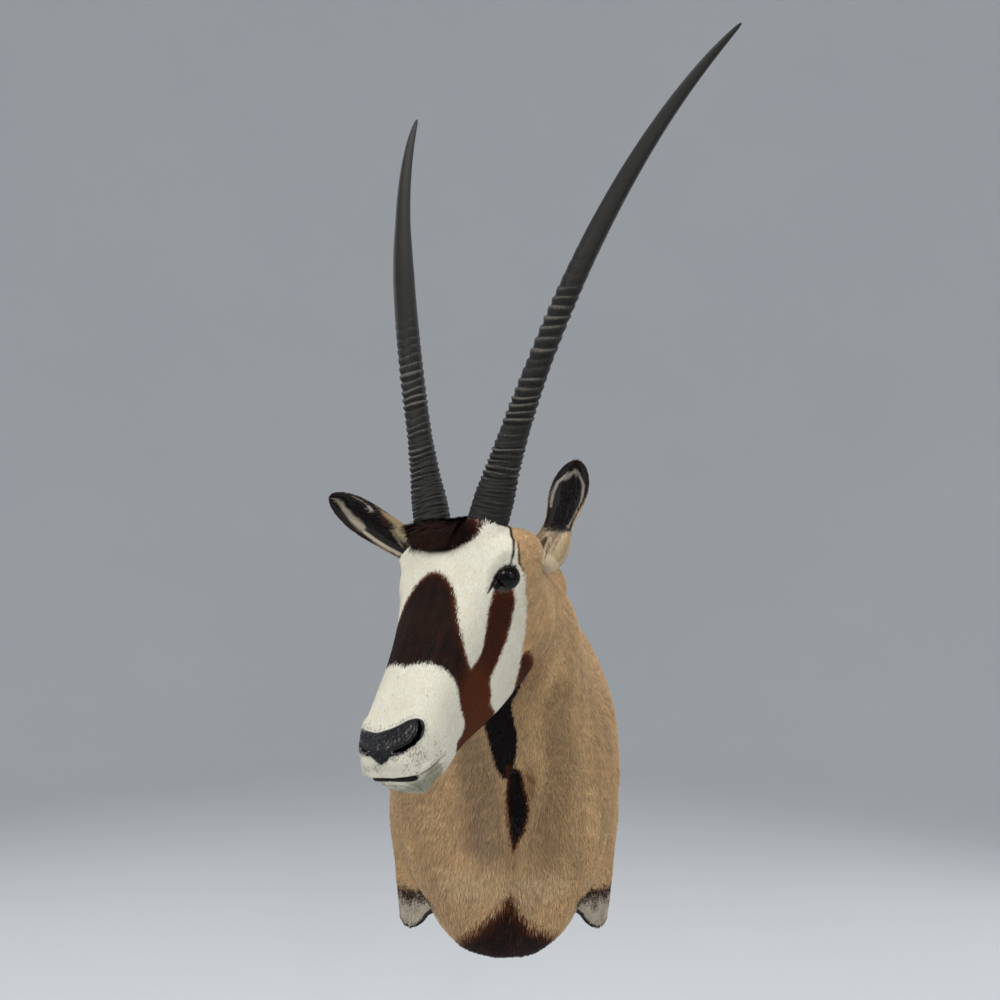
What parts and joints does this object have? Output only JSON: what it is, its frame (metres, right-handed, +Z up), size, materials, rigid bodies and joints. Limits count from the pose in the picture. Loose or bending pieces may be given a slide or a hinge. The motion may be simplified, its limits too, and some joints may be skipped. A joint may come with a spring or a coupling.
{
  "type": "gemsbok shoulder mount with horns",
  "caption": "Taxidermy shoulder mount of a gemsbok with long ringed horns, face markings, cupped ears, glass eyes and a flush board that hangs on a wall.",
  "frame": {"origin": "middle of the back board's rear face, on the wall plane", "axes": "+Y points into the wall, -Y the way the mount looks out, +Z up, +X the animal's left"},
  "size_m": [0.5782, 0.6765, 1.3551],
  "materials": {
    "hide": "short smooth hair, tan on the neck, white and dark brown on the face",
    "horn": "near-black ringed horn, dull near the head and smoother towards the tip",
    "ear_hide": "short hair, black inside, pale fringe and dark rim",
    "eye_glass": "polished dark glass eye",
    "plywood": "bare plywood",
    "steel": "zinc-plated hanger hardware"
  },
  "bodies": {
    "root": {"cape": "hide", "horn_left": "horn", "horn_right": "horn", "ear_left": "ear_hide", "ear_right": "ear_hide", "eye_left": "eye_glass", "eye_right": "eye_glass", "back_board": "plywood", "hanger_plate": "steel", "hanger_screw_1": "steel", "hanger_screw_2": "steel"}
  },
  "joints": []
}
